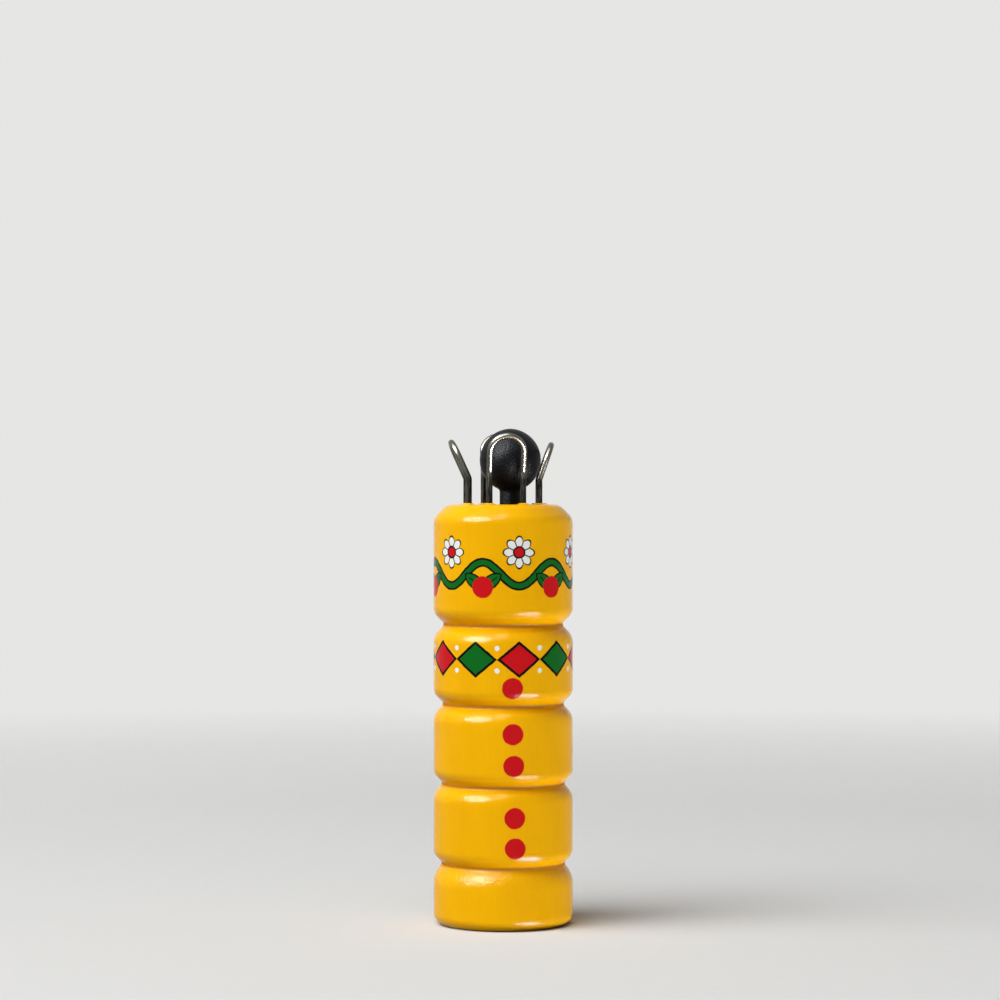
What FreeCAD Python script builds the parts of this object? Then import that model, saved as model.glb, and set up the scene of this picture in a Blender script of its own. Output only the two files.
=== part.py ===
"""Wooden knitting dolly (i-cord maker) with four wire hooks and a loose ball-knobbed needle.

Millimetres, +Z up, base on z = 0, dolly's axis on Z, front towards -Y.
"""

import FreeCAD
import Part
import math
import os

# Turned wooden body: a foot, three rings and a head between V-grooves with 45 degree sides, but for the
# foot's own side of the lowest groove, which is a longer and rounder shoulder.
DIAMETER = 30.0
FOOT_LENGTH = 13.2
RING_LENGTH = 17.1
HEAD_LENGTH = 25.8
GROOVE_DEPTHS = (1.95, 2.1, 2.3, 2.45)  # of each sharp V, from the foot up
GROOVE_ROOT_RADIUS = 0.8
LIP_RADIUS_OVER_GROOVE = 2.6
LIP_RADIUS_UNDER_GROOVE = 3.6
FOOT_SHOULDER_HEIGHT = 2.7
FOOT_LIP_RADIUS = 5.5
HEAD_CHAMFER = 2.9
HEAD_CHAMFER_BLEND = 3.0
FOOT_EDGE_RADIUS = 2.5
BORE_DIAMETER = 11.0
BORE_CHAMFER = 0.5

# Wire hooks: U-shaped staples driven into the head, their loops bent outward.
HOOK_WIRE_DIAMETER = 1.3
HOOK_INSET = 7.3  # from the body's side to the plane of a hook's legs
HOOK_LEG_SPACING = 7.2
HOOK_LEG_DEPTH = 9.0
HOOK_BEND_RADIUS = 1.5
HOOK_PRESS = 0.04  # the holes are this much smaller than the wire

# The hooks are bent by hand, no two alike. Bearing is from +X about +Z and lean from upright, in degrees.
# Bend is the height of the bend over the head, and length that of the wire from the head to the loop's crest.
FRONT_HOOK_BEARING = -90.0
FRONT_HOOK_LEAN = 22.0
FRONT_HOOK_BEND = 7.0
FRONT_HOOK_LENGTH = 15.15
RIGHT_HOOK_BEARING = -4.0
RIGHT_HOOK_LEAN = 19.5
RIGHT_HOOK_BEND = 5.4
RIGHT_HOOK_LENGTH = 13.25
BACK_HOOK_BEARING = 90.0
BACK_HOOK_LEAN = 22.0
BACK_HOOK_BEND = 7.0
BACK_HOOK_LENGTH = 15.55
LEFT_HOOK_BEARING = 180.0
LEFT_HOOK_LEAN = 24.5
LEFT_HOOK_BEND = 5.6
LEFT_HOOK_LENGTH = 14.1

HOOKS = (
    ("hook_front", FRONT_HOOK_BEARING, FRONT_HOOK_LEAN, FRONT_HOOK_BEND, FRONT_HOOK_LENGTH),
    ("hook_right", RIGHT_HOOK_BEARING, RIGHT_HOOK_LEAN, RIGHT_HOOK_BEND, RIGHT_HOOK_LENGTH),
    ("hook_back", BACK_HOOK_BEARING, BACK_HOOK_LEAN, BACK_HOOK_BEND, BACK_HOOK_LENGTH),
    ("hook_left", LEFT_HOOK_BEARING, LEFT_HOOK_LEAN, LEFT_HOOK_BEND, LEFT_HOOK_LENGTH),
)

# Needle: black handle with a ball knob and a neck, on a steel pin that stands on the ground plane.
KNOB_DIAMETER = 13.2
KNOB_OVER_HEAD = 9.55  # from the head's face to the knob's centre
KNOB_HOOK_GAP = 0.8  # the needle stands off centre, its knob close to the right hook
NECK_DIAMETER = 4.6
NECK_LENGTH = 12.0  # below the knob's lowest point
NECK_BLEND_RADIUS = 0.8
NECK_END_CHAMFER = 1.2
SEAM_OFFSET = 0.2  # the moulded halves meet in a low crest, this far out from a true round
SEAM_BEARING = -7.0  # turn of the seam's front crest from -Y towards -X, degrees
PIN_DIAMETER = 2.0
PIN_SEAT_DEPTH = 14.0
PIN_TAPER_LENGTH = 4.0
PIN_TIP_DIAMETER = 0.9
PIN_TIP_ROUNDING = 0.3
PIN_PRESS = 0.02  # the handle's socket is this much smaller than the pin

RING_COUNT = len(GROOVE_DEPTHS) - 1
HEAD_TOP = FOOT_LENGTH + RING_COUNT * RING_LENGTH + HEAD_LENGTH
HOOK_RING_RADIUS = DIAMETER / 2 - HOOK_INSET
UP = FreeCAD.Vector(0, 0, 1)
ORIGIN = FreeCAD.Vector(0, 0, 0)


def arc_about(centre, start, end):
    """The shorter arc about centre from start to end."""
    to_middle = (start + end - centre * 2).normalize()
    return Part.Arc(start, centre + to_middle * start.distanceToPoint(centre), end).toShape()


def rounded_outline(corners):
    """Closed outline in the XZ plane through corners (x, z, rounding radius), each rounded by a tangent arc."""
    points = [FreeCAD.Vector(x, 0, z) for x, z, _ in corners]
    entries, exits, arcs = [], [], []
    for i, corner in enumerate(points):
        back = (points[i - 1] - corner).normalize()
        ahead = (points[(i + 1) % len(points)] - corner).normalize()
        half_angle = back.getAngle(ahead) / 2
        radius = corners[i][2]
        setback = radius / math.tan(half_angle)
        entries.append(corner + back * setback)
        exits.append(corner + ahead * setback)
        centre = corner + (back + ahead).normalize() * (radius / math.sin(half_angle))
        arcs.append(arc_about(centre, entries[i], exits[i]) if radius else None)
    edges = []
    for i, arc in enumerate(arcs):
        if arc:
            edges.append(arc)
        edges.append(Part.makeLine(exits[i], entries[(i + 1) % len(points)]))
    return edges


def turned(edges):
    """Solid turned about Z from the edges of a closed outline."""
    return Part.Face(Part.Wire(edges)).revolve(ORIGIN, UP, 360)


def body_blank():
    radius = DIAMETER / 2
    bore = BORE_DIAMETER / 2
    corners = [
        (bore + BORE_CHAMFER, 0, 0),
        (radius, 0, FOOT_EDGE_RADIUS),
    ]
    for i, depth in enumerate(GROOVE_DEPTHS):
        root = FOOT_LENGTH + i * RING_LENGTH
        drop, lip = (depth, LIP_RADIUS_UNDER_GROOVE) if i else (FOOT_SHOULDER_HEIGHT, FOOT_LIP_RADIUS)
        corners += [
            (radius, root - drop, lip),
            (radius - depth, root, GROOVE_ROOT_RADIUS),
            (radius, root + depth, LIP_RADIUS_OVER_GROOVE),
        ]
    corners += [
        (radius, HEAD_TOP - HEAD_CHAMFER, HEAD_CHAMFER_BLEND),
        (radius - HEAD_CHAMFER, HEAD_TOP, HEAD_CHAMFER_BLEND),
        (bore + BORE_CHAMFER, HEAD_TOP, 0),
        (bore, HEAD_TOP - BORE_CHAMFER, 0),
        (bore, BORE_CHAMFER, 0),
    ]
    return turned(rounded_outline(corners))


def hook_path(lean, bend_height, length):
    """Centre line of a hook at bearing 0: legs on the plane x = 0, y = +-half spacing, z = 0 at the head's face."""
    half = HOOK_LEG_SPACING / 2
    lean = math.radians(lean)
    out = FreeCAD.Vector(math.sin(lean), 0, math.cos(lean))
    setback = HOOK_BEND_RADIUS * math.tan(lean / 2)
    sagitta = HOOK_BEND_RADIUS * (1 / math.cos(lean / 2) - 1)
    inward = FreeCAD.Vector(math.cos(lean / 2), 0, -math.sin(lean / 2))
    crest = length - bend_height
    top = UP * bend_height + out * crest

    def leg(side):
        y = FreeCAD.Vector(0, side * half, 0)
        bend = UP * bend_height + y
        foot = UP * -HOOK_LEG_DEPTH + y
        before, after, shoulder = bend - UP * setback, bend + out * setback, bend + out * (crest - half)
        return [
            Part.makeLine(foot, before),
            Part.Arc(before, bend + inward * sagitta, after).toShape(),
            Part.makeLine(after, shoulder),
        ], shoulder

    left, left_shoulder = leg(-1)
    right, right_shoulder = leg(1)
    loop = Part.Arc(left_shoulder, top, right_shoulder).toShape()
    return Part.Wire(left + [loop] + right[::-1])


def hook(bearing, lean, bend_height, length):
    path = hook_path(lean, bend_height, length)
    foot = FreeCAD.Vector(0, -HOOK_LEG_SPACING / 2, -HOOK_LEG_DEPTH)
    section = Part.Wire(Part.makeCircle(HOOK_WIRE_DIAMETER / 2, foot, UP))
    solid = path.makePipeShell([section], True, False)
    solid.translate(FreeCAD.Vector(HOOK_RING_RADIUS, 0, HEAD_TOP))
    solid.rotate(ORIGIN, UP, bearing)
    return solid


def hook_holes(bearing):
    """The two holes a hook's legs are driven into."""
    radius = (HOOK_WIRE_DIAMETER - HOOK_PRESS) / 2
    holes = []
    for side in (-1, 1):
        bottom = FreeCAD.Vector(HOOK_RING_RADIUS, side * HOOK_LEG_SPACING / 2, HEAD_TOP - HOOK_LEG_DEPTH)
        hole = Part.makeCylinder(radius, HOOK_LEG_DEPTH, bottom, UP)
        hole.rotate(ORIGIN, UP, bearing)
        holes.append(hole)
    return holes


def body():
    holes = [hole for _, bearing, *_ in HOOKS for hole in hook_holes(bearing)]
    return body_blank().cut(Part.makeCompound(holes))


def needle_place():
    """Foot of the needle, towards the right hook: the knob is KNOB_HOOK_GAP from that hook's leaning legs."""
    lean = math.radians(RIGHT_HOOK_LEAN)
    bearing = math.radians(RIGHT_HOOK_BEARING)
    to_leg = (KNOB_DIAMETER + HOOK_WIRE_DIAMETER) / 2 + KNOB_HOOK_GAP
    to_legs_plane = math.sqrt(to_leg ** 2 - (HOOK_LEG_SPACING / 2) ** 2)
    over_bend = KNOB_OVER_HEAD - RIGHT_HOOK_BEND
    offset = HOOK_RING_RADIUS - (to_legs_plane - over_bend * math.sin(lean)) / math.cos(lean)
    return FreeCAD.Vector(math.cos(bearing), math.sin(bearing), 0) * offset


def neck_end_height():
    """Lower end of the handle's neck."""
    return HEAD_TOP + KNOB_OVER_HEAD - KNOB_DIAMETER / 2 - NECK_LENGTH


def handle_blank(grow):
    """Knob and neck turned about Z, every radius larger by grow."""
    knob = KNOB_DIAMETER / 2 + grow
    neck = NECK_DIAMETER / 2 + grow
    centre = HEAD_TOP + KNOB_OVER_HEAD
    blend_x = neck + NECK_BLEND_RADIUS
    blend_z = centre - math.sqrt((knob + NECK_BLEND_RADIUS) ** 2 - blend_x ** 2)

    ball_centre = FreeCAD.Vector(0, 0, centre)
    blend_centre = FreeCAD.Vector(blend_x, 0, blend_z)
    crown = FreeCAD.Vector(0, 0, centre + knob)
    bottom = FreeCAD.Vector(0, 0, neck_end_height())
    mouth = FreeCAD.Vector(neck - NECK_END_CHAMFER, 0, neck_end_height())
    shoulder = FreeCAD.Vector(neck, 0, neck_end_height() + NECK_END_CHAMFER)
    neck_top = FreeCAD.Vector(neck, 0, blend_z)
    ball_foot = ball_centre + (blend_centre - ball_centre).normalize() * knob
    return turned([
        Part.makeLine(crown, bottom),
        Part.makeLine(bottom, mouth),
        Part.makeLine(mouth, shoulder),
        Part.makeLine(shoulder, neck_top),
        arc_about(blend_centre, neck_top, ball_foot),
        arc_about(ball_centre, ball_foot, crown),
    ])


def needle_handle():
    blank = handle_blank(SEAM_OFFSET)
    right_half, left_half = blank.copy(), blank.copy()
    right_half.translate(FreeCAD.Vector(-SEAM_OFFSET, 0, 0))
    left_half.translate(FreeCAD.Vector(SEAM_OFFSET, 0, 0))
    handle = right_half.common(left_half)
    handle.rotate(ORIGIN, UP, SEAM_BEARING)
    socket = Part.makeCylinder(
        (PIN_DIAMETER - PIN_PRESS) / 2, PIN_SEAT_DEPTH, FreeCAD.Vector(0, 0, neck_end_height())
    )
    handle = handle.cut(socket)
    handle.translate(needle_place())
    return handle


def needle_shaft():
    radius = PIN_DIAMETER / 2
    top = neck_end_height() + PIN_SEAT_DEPTH
    shaft = turned(rounded_outline([
        (0, 0, 0),
        (PIN_TIP_DIAMETER / 2, 0, PIN_TIP_ROUNDING),
        (radius, PIN_TAPER_LENGTH, 0),
        (radius, top, 0),
        (0, top, 0),
    ]))
    shaft.translate(needle_place())
    return shaft


def main():
    parts = {"body": body(), "needle_handle": needle_handle(), "needle_shaft": needle_shaft()}
    for name, bearing, lean, bend_height, length in HOOKS:
        parts[name] = hook(bearing, lean, bend_height, length)
    os.makedirs("parts", exist_ok=True)
    for name, shape in parts.items():
        shape.exportStep("parts/%s.step" % name)


main()
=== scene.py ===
"""Looks of the wooden knitting dolly: printed lacquer, wire hooks and the black-knobbed needle.

Metres, in the row frame: +Z up, base on z = 0, the dolly's axis on Z, its front towards -Y.
"""

import math

import bmesh
import bpy
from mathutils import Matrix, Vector

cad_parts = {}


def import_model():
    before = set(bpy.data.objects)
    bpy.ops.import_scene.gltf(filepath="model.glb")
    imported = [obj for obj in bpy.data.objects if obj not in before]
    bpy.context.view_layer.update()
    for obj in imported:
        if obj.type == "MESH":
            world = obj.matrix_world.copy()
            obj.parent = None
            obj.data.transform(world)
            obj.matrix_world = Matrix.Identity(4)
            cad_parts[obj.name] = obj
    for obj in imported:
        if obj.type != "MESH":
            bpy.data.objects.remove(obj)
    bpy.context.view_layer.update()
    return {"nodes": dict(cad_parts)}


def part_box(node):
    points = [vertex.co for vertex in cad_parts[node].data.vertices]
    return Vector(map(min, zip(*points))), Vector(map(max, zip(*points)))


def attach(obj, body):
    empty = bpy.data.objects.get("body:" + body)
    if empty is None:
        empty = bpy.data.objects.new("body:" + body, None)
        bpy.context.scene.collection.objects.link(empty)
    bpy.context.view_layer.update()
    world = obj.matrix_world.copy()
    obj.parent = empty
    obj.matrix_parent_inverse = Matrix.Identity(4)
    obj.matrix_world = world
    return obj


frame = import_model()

MM = 0.001
BODY_LOW, BODY_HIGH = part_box("body")
BODY_RADIUS = (BODY_HIGH[0] - BODY_LOW[0]) / 2
HEAD_TOP = BODY_HIGH[2]

# Camera: at the head's level, a little to the left of the front. The sidestep moves the dolly to the photo's
# place.
CAMERA_AZIMUTH = math.radians(-5)
CAMERA_DISTANCE = 0.647
CAMERA_HEIGHT = 0.09126
CAMERA_SIDESTEP = -0.00069
CAMERA_LENS = 108
CAMERA_SENSOR = 36


# ---------------------------------------------------------------- node arithmetic

PRINT_EDGE = 0.05 * MM


class Field:
    """A number that varies over a surface: the output of a shader node, with arithmetic."""

    def __init__(self, tree, socket):
        self.tree = tree
        self.socket = socket

    def apply(self, operation, *others):
        node = self.tree.nodes.new("ShaderNodeMath")
        node.operation = operation
        for slot, value in zip(node.inputs, (self,) + others):
            if isinstance(value, Field):
                self.tree.links.new(value.socket, slot)
            else:
                slot.default_value = value
        return Field(self.tree, node.outputs[0])

    def __add__(self, other):
        return self.apply("ADD", other)

    def __sub__(self, other):
        return self.apply("SUBTRACT", other)

    def __mul__(self, other):
        return self.apply("MULTIPLY", other)

    def __truediv__(self, other):
        return self.apply("DIVIDE", other)

    def abs(self):
        return self.apply("ABSOLUTE")

    def sin(self):
        return self.apply("SINE")

    def cos(self):
        return self.apply("COSINE")

    def at_least(self, other):
        return self.apply("MAXIMUM", other)

    def at_most(self, other):
        return self.apply("MINIMUM", other)

    def repeat(self, period):
        """The same pattern in every period, centred on zero."""
        return self.apply("WRAP", period / 2, -period / 2)

    def ramp(self, start, end):
        """From 0 at start to 1 at end, and flat beyond both."""
        node = self.tree.nodes.new("ShaderNodeMapRange")
        self.tree.links.new(self.socket, node.inputs["Value"])
        node.inputs["From Min"].default_value = start
        node.inputs["From Max"].default_value = end
        return Field(self.tree, node.outputs["Result"])

    def inside(self):
        """1 where this distance is negative, 0 outside, with the print's soft edge."""
        return self.ramp(PRINT_EDGE, -PRINT_EDGE)


def length(a, b):
    """Length of the vector (a, b)."""
    return (a * a + b * b).apply("SQRT")


def new_material(name):
    material = bpy.data.materials.new(name)
    material.use_nodes = True
    return material, material.node_tree, material.node_tree.nodes["Principled BSDF"]


def object_place(tree):
    """The surface point in the row frame."""
    return tree.nodes.new("ShaderNodeTexCoord").outputs["Object"]


def object_axes(tree):
    """X, Y and Z of the surface point in the row frame, and the point itself."""
    place = object_place(tree)
    split = tree.nodes.new("ShaderNodeSeparateXYZ")
    tree.links.new(place, split.inputs[0])
    return [Field(tree, split.outputs[i]) for i in range(3)], place


def stretched(tree, axes, across, along):
    """The surface point with X and Y times across and Z times along, for noise drawn out one way."""
    node = tree.nodes.new("ShaderNodeCombineXYZ")
    for slot, axis, factor in zip(node.inputs, axes, (across, across, along)):
        tree.links.new((axis * factor).socket, slot)
    return node.outputs[0]


def noise(tree, vector, scale, detail, roughness=0.5):
    """Noise from 0 to 1, about one lump every 1/scale metres, with smaller lumps on it as detail rises."""
    node = tree.nodes.new("ShaderNodeTexNoise")
    tree.links.new(vector, node.inputs["Vector"])
    node.inputs["Scale"].default_value = scale
    node.inputs["Detail"].default_value = detail
    node.inputs["Roughness"].default_value = roughness
    return Field(tree, node.outputs["Fac"])


def paint(tree, under, over, mask):
    """Colour over on colour under where mask is 1. A colour is a triple or a colour socket."""
    node = tree.nodes.new("ShaderNodeMix")
    node.data_type = "RGBA"
    tree.links.new(mask.socket, node.inputs["Factor"])
    for name, colour in (("A", under), ("B", over)):
        slot = next(s for s in node.inputs if s.name == name and s.type == "RGBA")
        if isinstance(colour, tuple):
            slot.default_value = (*colour, 1)
        else:
            tree.links.new(colour, slot)
    return next(s for s in node.outputs if s.type == "RGBA")


def bump(tree, shader, height, distance, strength=1.0):
    """Relief from a height field, distance deep."""
    node = tree.nodes.new("ShaderNodeBump")
    node.inputs["Distance"].default_value = distance
    node.inputs["Strength"].default_value = strength
    tree.links.new(height.socket, node.inputs["Height"])
    tree.links.new(node.outputs[0], shader.inputs["Normal"])


def blend_shaders(tree, share, first, second, output):
    """The output node shows first where share is 0 and second where it is 1."""
    mix = tree.nodes.new("ShaderNodeMixShader")
    tree.links.new(share.socket, mix.inputs[0])
    tree.links.new(first.outputs[0], mix.inputs[1])
    tree.links.new(second.outputs[0], mix.inputs[2])
    tree.links.new(mix.outputs[0], tree.nodes[output].inputs["Surface"])


# ---------------------------------------------------------------- printed ornament

RED = (0.560, 0.006, 0.010)
GREEN = (0.003, 0.130, 0.012)
WHITE = (0.80, 0.79, 0.76)
BLACK = (0.001, 0.001, 0.002)

# The black line of the print, and the part of it that shows outside each motif.
STROKE = 0.6 * MM
VINE_OUTLINE = STROKE * 0.7
LEAF_OUTLINE = STROKE * 0.55
PETAL_OUTLINE = STROKE * 0.6
LOZENGE_OUTLINE = STROKE * 0.5
LOZENGE_INSET = STROKE * 0.4

VINE_PERIOD = math.radians(60)
VINE_PHASE = math.radians(8)
VINE_HEIGHT = 75.6 * MM
VINE_SWING = 2.5 * MM
VINE_HALF_WIDTH = 0.55 * MM

LEAF_HALF_LENGTH = 2.5 * MM
LEAF_HALF_WIDTH = 1.15 * MM
LEAF_SHIFT = 2.1 * MM
LEAF_DROP = 1.6 * MM
LEAF_TILT = math.radians(-38)
VEIN_HALF_LENGTH = 1.6 * MM
VEIN_HALF_WIDTH = 0.11 * MM

DAISY_RISE = 4.6 * MM
DAISY_EYE = 1.0 * MM
DAISY_EYE_RIM = 1.35 * MM
PETAL_COUNT = 8
PETAL_ROOT = 2.2 * MM
PETAL_REACH = 1.0 * MM
PETAL_GAP = 0.12 * MM

BERRY_RADIUS = 2.3 * MM
BERRY_DROP = 4.7 * MM

LOZENGE_COUNT = 10
LOZENGE_HEIGHT = 57.6 * MM
LOZENGE_HALF_HEIGHT = 3.5 * MM
LOZENGE_HALF_WIDTH = 4.3 * MM
TIP_DOT_RISE = 2.4 * MM
TIP_DOT_RADIUS = 0.55 * MM

# Plain red dots down the front: turn from the front towards +X in degrees, height in millimetres.
FRONT_DOTS = ((2.5, 51.5), (2.9, 41.8), (3.6, 35.1), (4.4, 24.1), (4.7, 17.7))
FRONT_DOT_RADIUS = 2.24 * MM


def lens(along, across, half_length, half_width):
    """Distance to a pointed leaf."""
    arc_radius = (half_length ** 2 + half_width ** 2) / (2 * half_width)
    return length(along, across.abs() + (arc_radius - half_width)) - arc_radius


def turn(u, v, angle):
    """The point (u, v) on axes turned by angle."""
    return u * math.cos(angle) + v * math.sin(angle), v * math.cos(angle) - u * math.sin(angle)


def vine(tree, colour, bearing, z):
    """Green wavy stem all round the head."""
    phase = (bearing - VINE_PHASE) * (math.tau / VINE_PERIOD)
    slope = VINE_SWING * (math.tau / VINE_PERIOD) / BODY_RADIUS
    rise = z - VINE_HEIGHT + phase.cos() * VINE_SWING
    steepness = phase.sin() * slope
    distance = rise.abs() / (steepness * steepness + 1).apply("SQRT")
    colour = paint(tree, colour, BLACK, (distance - (VINE_HALF_WIDTH + VINE_OUTLINE)).inside())
    return paint(tree, colour, GREEN, (distance - VINE_HALF_WIDTH).inside())


def leaf_pair(tree, colour, bearing, z):
    """Leaves on the vine's slopes, one each side of a berry."""
    for side in (-1, 1):
        centre = VINE_PHASE + side * VINE_PERIOD / 4
        u = (bearing - centre).repeat(VINE_PERIOD) * BODY_RADIUS
        along, across = turn(u - side * LEAF_SHIFT, z - (VINE_HEIGHT - LEAF_DROP), side * LEAF_TILT)
        leaf = lens(along, across, LEAF_HALF_LENGTH, LEAF_HALF_WIDTH)
        vein = (across.abs() - VEIN_HALF_WIDTH).at_least(along.abs() - VEIN_HALF_LENGTH)
        colour = paint(tree, colour, BLACK, (leaf - LEAF_OUTLINE).inside())
        colour = paint(tree, colour, GREEN, leaf.inside())
        colour = paint(tree, colour, BLACK, vein.inside())
    return colour


def daisy(tree, colour, bearing, z):
    """White flowers with a red eye in the vine's dips."""
    u = (bearing - VINE_PHASE).repeat(VINE_PERIOD) * BODY_RADIUS
    v = z - (VINE_HEIGHT + DAISY_RISE)
    reach = length(u, v)
    around = v.apply("ARCTAN2", u)
    petals = reach - ((around * (PETAL_COUNT / 2)).cos().abs() * PETAL_REACH + PETAL_ROOT)
    gap = (around - math.pi / PETAL_COUNT).repeat(math.tau / PETAL_COUNT).abs() * reach
    colour = paint(tree, colour, BLACK, (petals - PETAL_OUTLINE).inside())
    colour = paint(tree, colour, WHITE, petals.inside())
    colour = paint(tree, colour, BLACK, (gap - PETAL_GAP).at_least(petals).inside())
    colour = paint(tree, colour, BLACK, (reach - DAISY_EYE_RIM).inside())
    return paint(tree, colour, RED, (reach - DAISY_EYE).inside())


def berries(tree, colour, bearing, z):
    """Plain red discs under the vine's rises."""
    u = (bearing - VINE_PHASE - VINE_PERIOD / 2).repeat(VINE_PERIOD) * BODY_RADIUS
    v = z - (VINE_HEIGHT + VINE_SWING - BERRY_DROP - VINE_HALF_WIDTH)
    return paint(tree, colour, RED, (length(u, v) - BERRY_RADIUS).inside())


def lozenge_band(tree, colour, bearing, z):
    """Chain of red and green lozenges round the top ring, with white dots above and below where tips meet."""
    period = math.tau / LOZENGE_COUNT
    u = (bearing - VINE_PHASE).repeat(period) * BODY_RADIUS
    v = z - LOZENGE_HEIGHT
    slant = math.hypot(LOZENGE_HALF_WIDTH, LOZENGE_HALF_HEIGHT)
    across = u.abs() / LOZENGE_HALF_WIDTH + v.abs() / LOZENGE_HALF_HEIGHT - 1
    rim = across * (LOZENGE_HALF_WIDTH * LOZENGE_HALF_HEIGHT / slant)
    odd = ((bearing - VINE_PHASE).repeat(2 * period).abs() - period / 2).apply("GREATER_THAN", 0.0)
    fill = paint(tree, RED, GREEN, odd)
    colour = paint(tree, colour, BLACK, (rim - LOZENGE_OUTLINE).inside())
    colour = paint(tree, colour, fill, (rim + LOZENGE_INSET).inside())
    tip = (bearing - VINE_PHASE - period / 2).repeat(period) * BODY_RADIUS
    dot = length(tip, v.abs() - TIP_DOT_RISE) - TIP_DOT_RADIUS
    return paint(tree, colour, WHITE, dot.inside())


def front_dots(tree, colour, bearing, z):
    """The red dots down the front."""
    for degrees, height in FRONT_DOTS:
        u = (bearing - math.radians(degrees)) * BODY_RADIUS
        dot = length(u, z - height * MM) - FRONT_DOT_RADIUS
        colour = paint(tree, colour, RED, dot.inside())
    return colour


# ---------------------------------------------------------------- lacquered body

YELLOW = (0.890, 0.446, 0.0004)
YELLOW_DULL = (0.820, 0.394, 0.0004)
# Darker yellow in the groove roots: partly the tone of pooling lacquer, partly painted shade.
GROOVE_POOL_AND_SHADE_YELLOW = (0.540, 0.190, 0.0004)
BEECH_LIGHT = (0.60, 0.40, 0.22)
BEECH_DARK = (0.42, 0.25, 0.12)
LACQUER_SPECULAR = 0.06
LACQUER_RELIEF = 0.06 * MM
PRINT_WAVER = 0.22 * MM

# The four grooves, evenly spaced up the body, and the reach from the middle of each of the lacquer pooling
# there and of the shade painted into the roots.
LOWEST_GROOVE = 13.2 * MM
GROOVE_SPACING = 17.1 * MM
GROOVE_COUNT = 4
POOL_AND_SHADE_EDGE = 0.55 * MM
POOL_AND_SHADE_CORE = 0.1 * MM

# Radii at the mouths of the bore: lacquer outside the first, bare wood within the second.
LACQUER_BEYOND = 5.75 * MM
WOOD_WITHIN = 5.6 * MM

# The foot's shoulder, where the lacquer shows orange peel: it sets in between the first two heights and stops
# over the last stretch below the lowest groove.
PEEL_START = 8.0 * MM
PEEL_FULL = 9.5 * MM
PEEL_STOP = 0.5 * MM


def lacquer_material():
    """Yellow lacquer on turned beech with the print on it, and bare wood in the bore."""
    material, tree, shader = new_material("lacquered_wood_print")
    axes, place = object_axes(tree)
    x, y, z = axes
    bearing = x.apply("ARCTAN2", y * -1)

    # The print's edges waver a little.
    print_z = z + (noise(tree, place, 900, 1) - 0.5) * PRINT_WAVER
    print_bearing = bearing + (noise(tree, place, 760, 1) - 0.5) * (PRINT_WAVER / BODY_RADIUS)

    # Lacquer pools in the grooves, up to the highest one; the same mask also paints shade into the groove
    # roots.
    from_groove = (print_z - LOWEST_GROOVE).repeat(GROOVE_SPACING).abs()
    over_grooves = z - (LOWEST_GROOVE + (GROOVE_COUNT - 0.5) * GROOVE_SPACING)
    groove_pool_and_shade = from_groove.ramp(POOL_AND_SHADE_EDGE, POOL_AND_SHADE_CORE) * over_grooves.inside()

    # Uneven lacquer with the wood's grain showing through it, both drawn out along Z.
    clouds = noise(tree, stretched(tree, axes, 1, 0.35), 160, 3)
    grain = noise(tree, stretched(tree, axes, 1, 0.06), 1500, 3).ramp(0.4, 0.75)
    colour = paint(tree, YELLOW, YELLOW_DULL, clouds.ramp(0.35, 0.8) * 0.7 + grain * 0.3)
    # Painted shade: the groove roots are darkened, together with the pooling lacquer's deeper tone.
    colour = paint(tree, colour, GROOVE_POOL_AND_SHADE_YELLOW, groove_pool_and_shade * 0.9)
    for motif in (front_dots, lozenge_band, vine, leaf_pair, berries, daisy):
        colour = motif(tree, colour, print_bearing, print_z)
    in_bore = length(x, y).ramp(LACQUER_BEYOND, WOOD_WITHIN)
    colour = paint(tree, colour, paint(tree, BEECH_LIGHT, BEECH_DARK, grain), in_bore)
    tree.links.new(colour, shader.inputs["Base Color"])

    # The wood in the bore is dull, and the lacquer in the groove roots hardly shines.
    shader.inputs["Specular IOR Level"].default_value = LACQUER_SPECULAR
    gloss = noise(tree, place, 420, 3).ramp(0.2, 0.8) * 0.05 + 0.10
    roughness = (gloss + in_bore * 0.4 + groove_pool_and_shade * 0.85).at_most(1.0)
    tree.links.new(roughness.socket, shader.inputs["Roughness"])

    # Soft ripples, marks of turning that run round the body, and the peel on the foot's shoulder.
    turning = noise(tree, stretched(tree, axes, 0.15, 1), 1500, 2)
    shoulder = z.ramp(PEEL_START, PEEL_FULL) * z.ramp(LOWEST_GROOVE, LOWEST_GROOVE - PEEL_STOP)
    peel = (noise(tree, place, 1500, 1) - 0.5) * shoulder
    ripples = noise(tree, place, 650, 2) * 0.6 + noise(tree, place, 1700, 2) * 0.3
    bump(tree, shader, ripples + turning * 0.25 + peel * 2.6, LACQUER_RELIEF)
    return material


# ---------------------------------------------------------------- wire, knob and pin

# Painted shade: the wire's steel is far darker than steel, in place of dark reflections, and the loops above
# a wavy height are a lighter steel as painted sheen.
LEG_BRIGHT = (0.056, 0.052, 0.042)
LEG_DULL = (0.003, 0.003, 0.002)
LOOP_SHEEN_STEEL = (0.092, 0.086, 0.072)
WIRE_ROUGHNESS = 0.2
LOOP_SHEEN_FROM = 95.5 * MM
LOOP_SHEEN_FADE = 2.5 * MM
LOOP_SHEEN_UNEVEN = 2 * MM

PIN_BRIGHT = (0.50, 0.50, 0.49)
PIN_DULL = (0.30, 0.30, 0.29)
PIN_ROUGHNESS = 0.02

KNOB_DARK = (0.004, 0.0045, 0.006)
KNOB_LIGHT = (0.009, 0.010, 0.013)
KNOB_SPECULAR = 0.045
KNOB_GRAIN = 0.15 * MM


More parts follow.
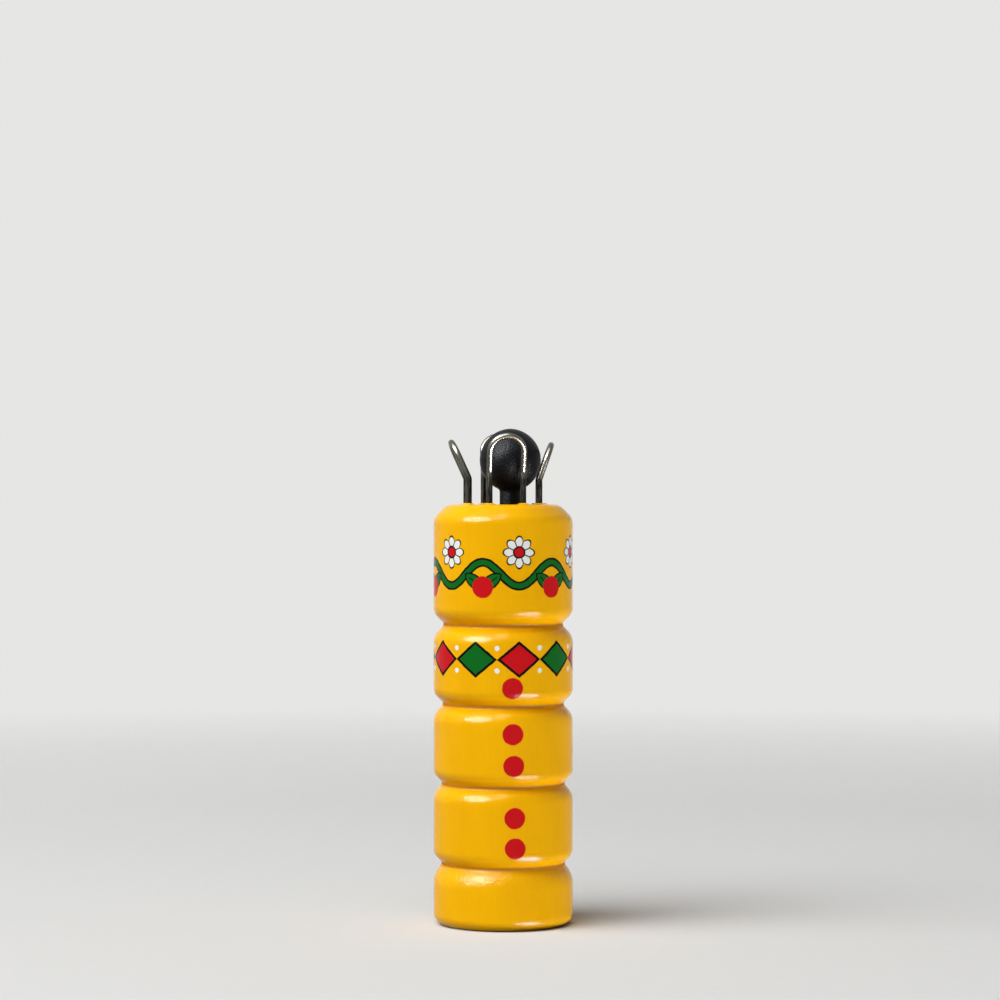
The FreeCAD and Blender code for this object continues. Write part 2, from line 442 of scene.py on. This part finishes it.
def drawn_steel(tree, shader, axes, place, bright, dull, roughness):
    """Colour, gloss and fine lines of steel wire drawn along Z."""
    lines = noise(tree, stretched(tree, axes, 1, 0.12), 2600, 2)
    stain = noise(tree, place, 500, 3)
    shader.inputs["Metallic"].default_value = 1.0
    tree.links.new((lines * 0.2 + roughness).socket, shader.inputs["Roughness"])
    bump(tree, shader, lines, 0.01 * MM, 0.5)
    dulled = lines.ramp(0.42, 0.52) * 0.75 + stain.ramp(0.4, 0.7) * 0.25
    return paint(tree, bright, dull, dulled)


def hook_material():
    """Steel wire painted darker than steel as shade, darkest on the legs, and brighter on the loops as
    painted sheen.
    """
    material, tree, shader = new_material("hook_wire_drawn")
    axes, place = object_axes(tree)
    # Painted shade: darker steel on the legs where they stand in the head.
    legs_painted_dark = drawn_steel(tree, shader, axes, place, LEG_BRIGHT, LEG_DULL, WIRE_ROUGHNESS)
    cloud = noise(tree, place, 700, 3)
    uneven_height = axes[2] + (cloud - 0.5) * LOOP_SHEEN_UNEVEN
    loops_painted_sheen = uneven_height.ramp(LOOP_SHEEN_FROM, LOOP_SHEEN_FROM + LOOP_SHEEN_FADE)
    # Painted sheen: lighter steel on the loops, blended in over a wavy height.
    tree.links.new(paint(tree, legs_painted_dark, LOOP_SHEEN_STEEL, loops_painted_sheen), shader.inputs["Base Color"])
    return material


def pin_material():
    """Polished steel pin."""
    material, tree, shader = new_material("pin_steel_polished")
    axes, place = object_axes(tree)
    colour = drawn_steel(tree, shader, axes, place, PIN_BRIGHT, PIN_DULL, PIN_ROUGHNESS)
    tree.links.new(colour, shader.inputs["Base Color"])
    return material


def knob_material():
    """Satin black moulded plastic with a fine grain."""
    material, tree, shader = new_material("knob_plastic_grain")
    place = object_place(tree)
    grain = noise(tree, place, 2400, 3, 0.65)
    cloud = noise(tree, place, 260, 3)
    tree.links.new(paint(tree, KNOB_DARK, KNOB_LIGHT, cloud.ramp(0.3, 0.7)), shader.inputs["Base Color"])
    shader.inputs["Specular IOR Level"].default_value = KNOB_SPECULAR
    tree.links.new((cloud * 0.12 + 0.32).socket, shader.inputs["Roughness"])
    bump(tree, shader, grain, KNOB_GRAIN)
    return material


# ---------------------------------------------------------------- paint collars

COLLAR_HEIGHT = 0.3 * MM
COLLAR_WIDTH = 0.75 * MM
COLLAR_SINK = 0.02 * MM
COLLAR_SEGMENTS = 40
COLLAR_STEPS = 6
LEG_PROBE_DEPTH = 2 * MM
HOOK_NODES = ("hook_front", "hook_right", "hook_back", "hook_left")


def leg_places(node):
    """Middle of each leg of a hook where it enters the head, and the wire's radius."""
    points = [v.co for v in frame["nodes"][node].data.vertices if v.co.z < HEAD_TOP - LEG_PROBE_DEPTH]
    middle = sum(points, Vector()) / len(points)
    sideways = (max(p.x for p in points) - min(p.x for p in points),
                max(p.y for p in points) - min(p.y for p in points))
    axis = 0 if sideways[0] > sideways[1] else 1
    radius = min(sideways) / 2
    offset = max(sideways) / 2 - radius
    places = []
    for side in (-1, 1):
        place = Vector((middle.x, middle.y, HEAD_TOP))
        place[axis] += side * offset
        places.append(place)
    return places, radius


def collar_ring(mesh, place, radius, width, height):
    """Ring of points round a leg, a little uneven and different at each leg."""
    ring = []
    for k in range(COLLAR_SEGMENTS):
        angle = math.tau * k / COLLAR_SEGMENTS
        wobble = 1 + 0.10 * math.sin(3 * angle + place.x * 900) + 0.06 * math.sin(5 * angle + place.y * 700)
        reach = radius + width * wobble
        ring.append(mesh.verts.new((
            place.x + reach * math.cos(angle),
            place.y + reach * math.sin(angle),
            place.z + height,
        )))
    return ring


def collar_mesh(name, place, radius):
    """Paint pushed up round a leg: a low bead, highest at the wire, its underside sunk in the head."""
    mesh = bmesh.new()
    rings = [collar_ring(mesh, place, radius, 0, -COLLAR_SINK)]
    for step in range(COLLAR_STEPS):
        t = step / COLLAR_STEPS
        height = COLLAR_HEIGHT * math.cos(t * math.pi / 2) ** 1.2
        rings.append(collar_ring(mesh, place, radius, COLLAR_WIDTH * t, height))
    rings.append(collar_ring(mesh, place, radius, COLLAR_WIDTH, -COLLAR_SINK))
    for inner, outer in zip(rings, rings[1:] + rings[:1]):
        for k in range(COLLAR_SEGMENTS):
            j = (k + 1) % COLLAR_SEGMENTS
            mesh.faces.new((inner[k], outer[k], outer[j], inner[j]))
    bmesh.ops.recalc_face_normals(mesh, faces=mesh.faces)
    data = bpy.data.meshes.new(name)
    mesh.to_mesh(data)
    mesh.free()
    data.shade_smooth()
    collar = bpy.data.objects.new(name, data)
    bpy.context.scene.collection.objects.link(collar)
    return collar


def paint_collars(material):
    """A bead of lacquer round every leg of the four hooks."""
    for node in HOOK_NODES:
        places, radius = leg_places(node)
        for side, place in zip(("a", "b"), places):
            collar = collar_mesh("paint_collar_%s_%s" % (node.split("_")[1], side), place, radius)
            collar.data.materials.append(material)
            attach(collar, "dolly")


# ---------------------------------------------------------------- studio

# The floor fades into the backdrop between two distances from the dolly's axis. Fine noise blurs them, or the
# denoiser would draw a line where the floor turns mostly clear.
FLOOR_RADIUS = 2.5
FLOOR_FADE_START = 0.25
FLOOR_FADE_END = 0.66
FLOOR_FADE_BLUR = 0.2
FLOOR_CORNERS = 96

# The floor as it looks, and the darker tone that it throws back on the object, like the photo's dark card.
FLOOR_COLOUR = (0.65, 0.65, 0.64)
FLOOR_SPECK = (0.63, 0.63, 0.62)
FLOOR_BOUNCE = (0.31, 0.31, 0.305)
FLOOR_ROUGHNESS = 0.9
FOOT_MARGIN = 0.5 * MM

BACKDROP = (0.79, 0.79, 0.78)
WORLD_LIGHT = 0.13

# Lamps: azimuth from the camera towards +X, elevation, and the width and height that each spans as seen from
# the dolly, all in degrees, then its brightness, where 1 is white.
LAMP_DISTANCE = 2.0
LAMP_TARGET = Vector((0, 0, 0.055))
SOFT_LAMPS = (
    ("side_key", -65, 35, 45, 45, 2.98),
    ("top_key", -40, 60, 45, 45, 4.5),
    ("low_fill", 66, -50, 45, 45, 4.7),
)
GLOSS_LAMPS = (
    ("window_gloss", -50, 36, 44, 36, 60),
    ("crown_gloss", -6, 62, 16, 54, 11),
    ("low_gloss", 46, -36, 38, 30, 56),
)


def seen_directly(tree, path):
    """1 for rays that show things to the camera, in gloss or through glass, 0 for rays that light things."""
    kinds = [Field(tree, path.outputs["Is %s Ray" % kind]) for kind in ("Camera", "Glossy", "Transmission")]
    return (kinds[0] + kinds[1] + kinds[2]).at_most(1.0)


def floor():
    """Pale round floor that fades into the backdrop. Lamps below it shine through, but not under the foot."""
    bpy.ops.mesh.primitive_circle_add(vertices=FLOOR_CORNERS, radius=FLOOR_RADIUS, fill_type="NGON")
    disc = bpy.context.object
    disc.name = "floor"
    material, tree, shader = new_material("pale_floor")
    axes, place = object_axes(tree)
    path = tree.nodes.new("ShaderNodeLightPath")

    look = paint(tree, FLOOR_COLOUR, FLOOR_SPECK, noise(tree, place, 300, 3))
    colour = paint(tree, FLOOR_BOUNCE, look, seen_directly(tree, path))
    tree.links.new(colour, shader.inputs["Base Color"])
    shader.inputs["Roughness"].default_value = FLOOR_ROUGHNESS
    shader.inputs["Specular IOR Level"].default_value = 0.0

    reach = length(axes[0], axes[1])
    blurred = reach + (noise(tree, place, 2500, 0) - 0.5) * FLOOR_FADE_BLUR
    lamp_ray = Field(tree, path.outputs["Is Shadow Ray"])
    past_foot = reach.ramp(BODY_RADIUS, BODY_RADIUS + FOOT_MARGIN)
    see_through = blurred.ramp(FLOOR_FADE_START, FLOOR_FADE_END).at_least(lamp_ray * past_foot)
    clear = tree.nodes.new("ShaderNodeBsdfTransparent")
    blend_shaders(tree, see_through, shader, clear, "Material Output")
    disc.data.materials.append(material)


def world():
    """Pale surroundings for the camera and for reflections, plain soft light for everything else."""
    sky = bpy.data.worlds.new("studio")
    bpy.context.scene.world = sky
    sky.use_nodes = True
    tree = sky.node_tree
    light = tree.nodes["Background"]
    light.inputs["Color"].default_value = (1, 1, 1, 1)
    light.inputs["Strength"].default_value = WORLD_LIGHT
    seen = tree.nodes.new("ShaderNodeBackground")
    seen.inputs["Color"].default_value = (*BACKDROP, 1)
    seen.inputs["Strength"].default_value = 1.0
    path = tree.nodes.new("ShaderNodeLightPath")
    blend_shaders(tree, seen_directly(tree, path), light, seen, "World Output")


def span(degrees):
    """Metres that span this angle at the lamps' distance."""
    return 2 * LAMP_DISTANCE * math.tan(math.radians(degrees) / 2)


def lamp(name, azimuth, elevation, width, height, level, gloss_only):
    """Soft lamp aimed at the dolly. One for gloss alone is oval and gives no diffuse light."""
    turn_z = math.radians(azimuth) + CAMERA_AZIMUTH
    rise = math.radians(elevation)
    out = Vector((math.sin(turn_z) * math.cos(rise), -math.cos(turn_z) * math.cos(rise), math.sin(rise)))
    data = bpy.data.lights.new(name, "AREA")
    data.shape = "ELLIPSE" if gloss_only else "RECTANGLE"
    data.size = span(width)
    data.size_y = span(height)
    data.energy = level * math.pi * span(width) * span(height) * (math.pi / 4 if gloss_only else 1)
    # The floor would stop rays that look for a lamp below it, so such a lamp is sampled directly.
    data.cycles.use_multiple_importance_sampling = elevation > 0
    obj = bpy.data.objects.new(name, data)
    bpy.context.scene.collection.objects.link(obj)
    obj.location = LAMP_TARGET + out * LAMP_DISTANCE
    obj.rotation_euler = (LAMP_TARGET - obj.location).to_track_quat("-Z", "Y").to_euler()
    obj.visible_diffuse = not gloss_only


def camera():
    data = bpy.data.cameras.new("camera")
    data.lens = CAMERA_LENS
    data.sensor_width = CAMERA_SENSOR
    obj = bpy.data.objects.new("camera", data)
    bpy.context.scene.collection.objects.link(obj)
    right = Vector((math.cos(CAMERA_AZIMUTH), math.sin(CAMERA_AZIMUTH), 0))
    back = Vector((math.sin(CAMERA_AZIMUTH), -math.cos(CAMERA_AZIMUTH), 0))
    obj.location = back * CAMERA_DISTANCE + right * CAMERA_SIDESTEP + Vector((0, 0, CAMERA_HEIGHT))
    obj.rotation_euler = (math.pi / 2, 0, CAMERA_AZIMUTH)
    bpy.context.scene.camera = obj


def dress(node, material):
    """Puts the material in every slot of a CAD piece."""
    for slot in frame["nodes"][node].material_slots:
        slot.material = material


def main():
    lacquer = lacquer_material()
    dress("body", lacquer)
    wire = hook_material()
    for node in HOOK_NODES:
        dress(node, wire)
    dress("needle_handle", knob_material())
    dress("needle_shaft", pin_material())
    paint_collars(lacquer)

    floor()
    world()
    for settings in SOFT_LAMPS:
        lamp(*settings, gloss_only=False)
    for settings in GLOSS_LAMPS:
        lamp(*settings, gloss_only=True)
    camera()
    bpy.context.scene.view_settings.view_transform = "Standard"


main()
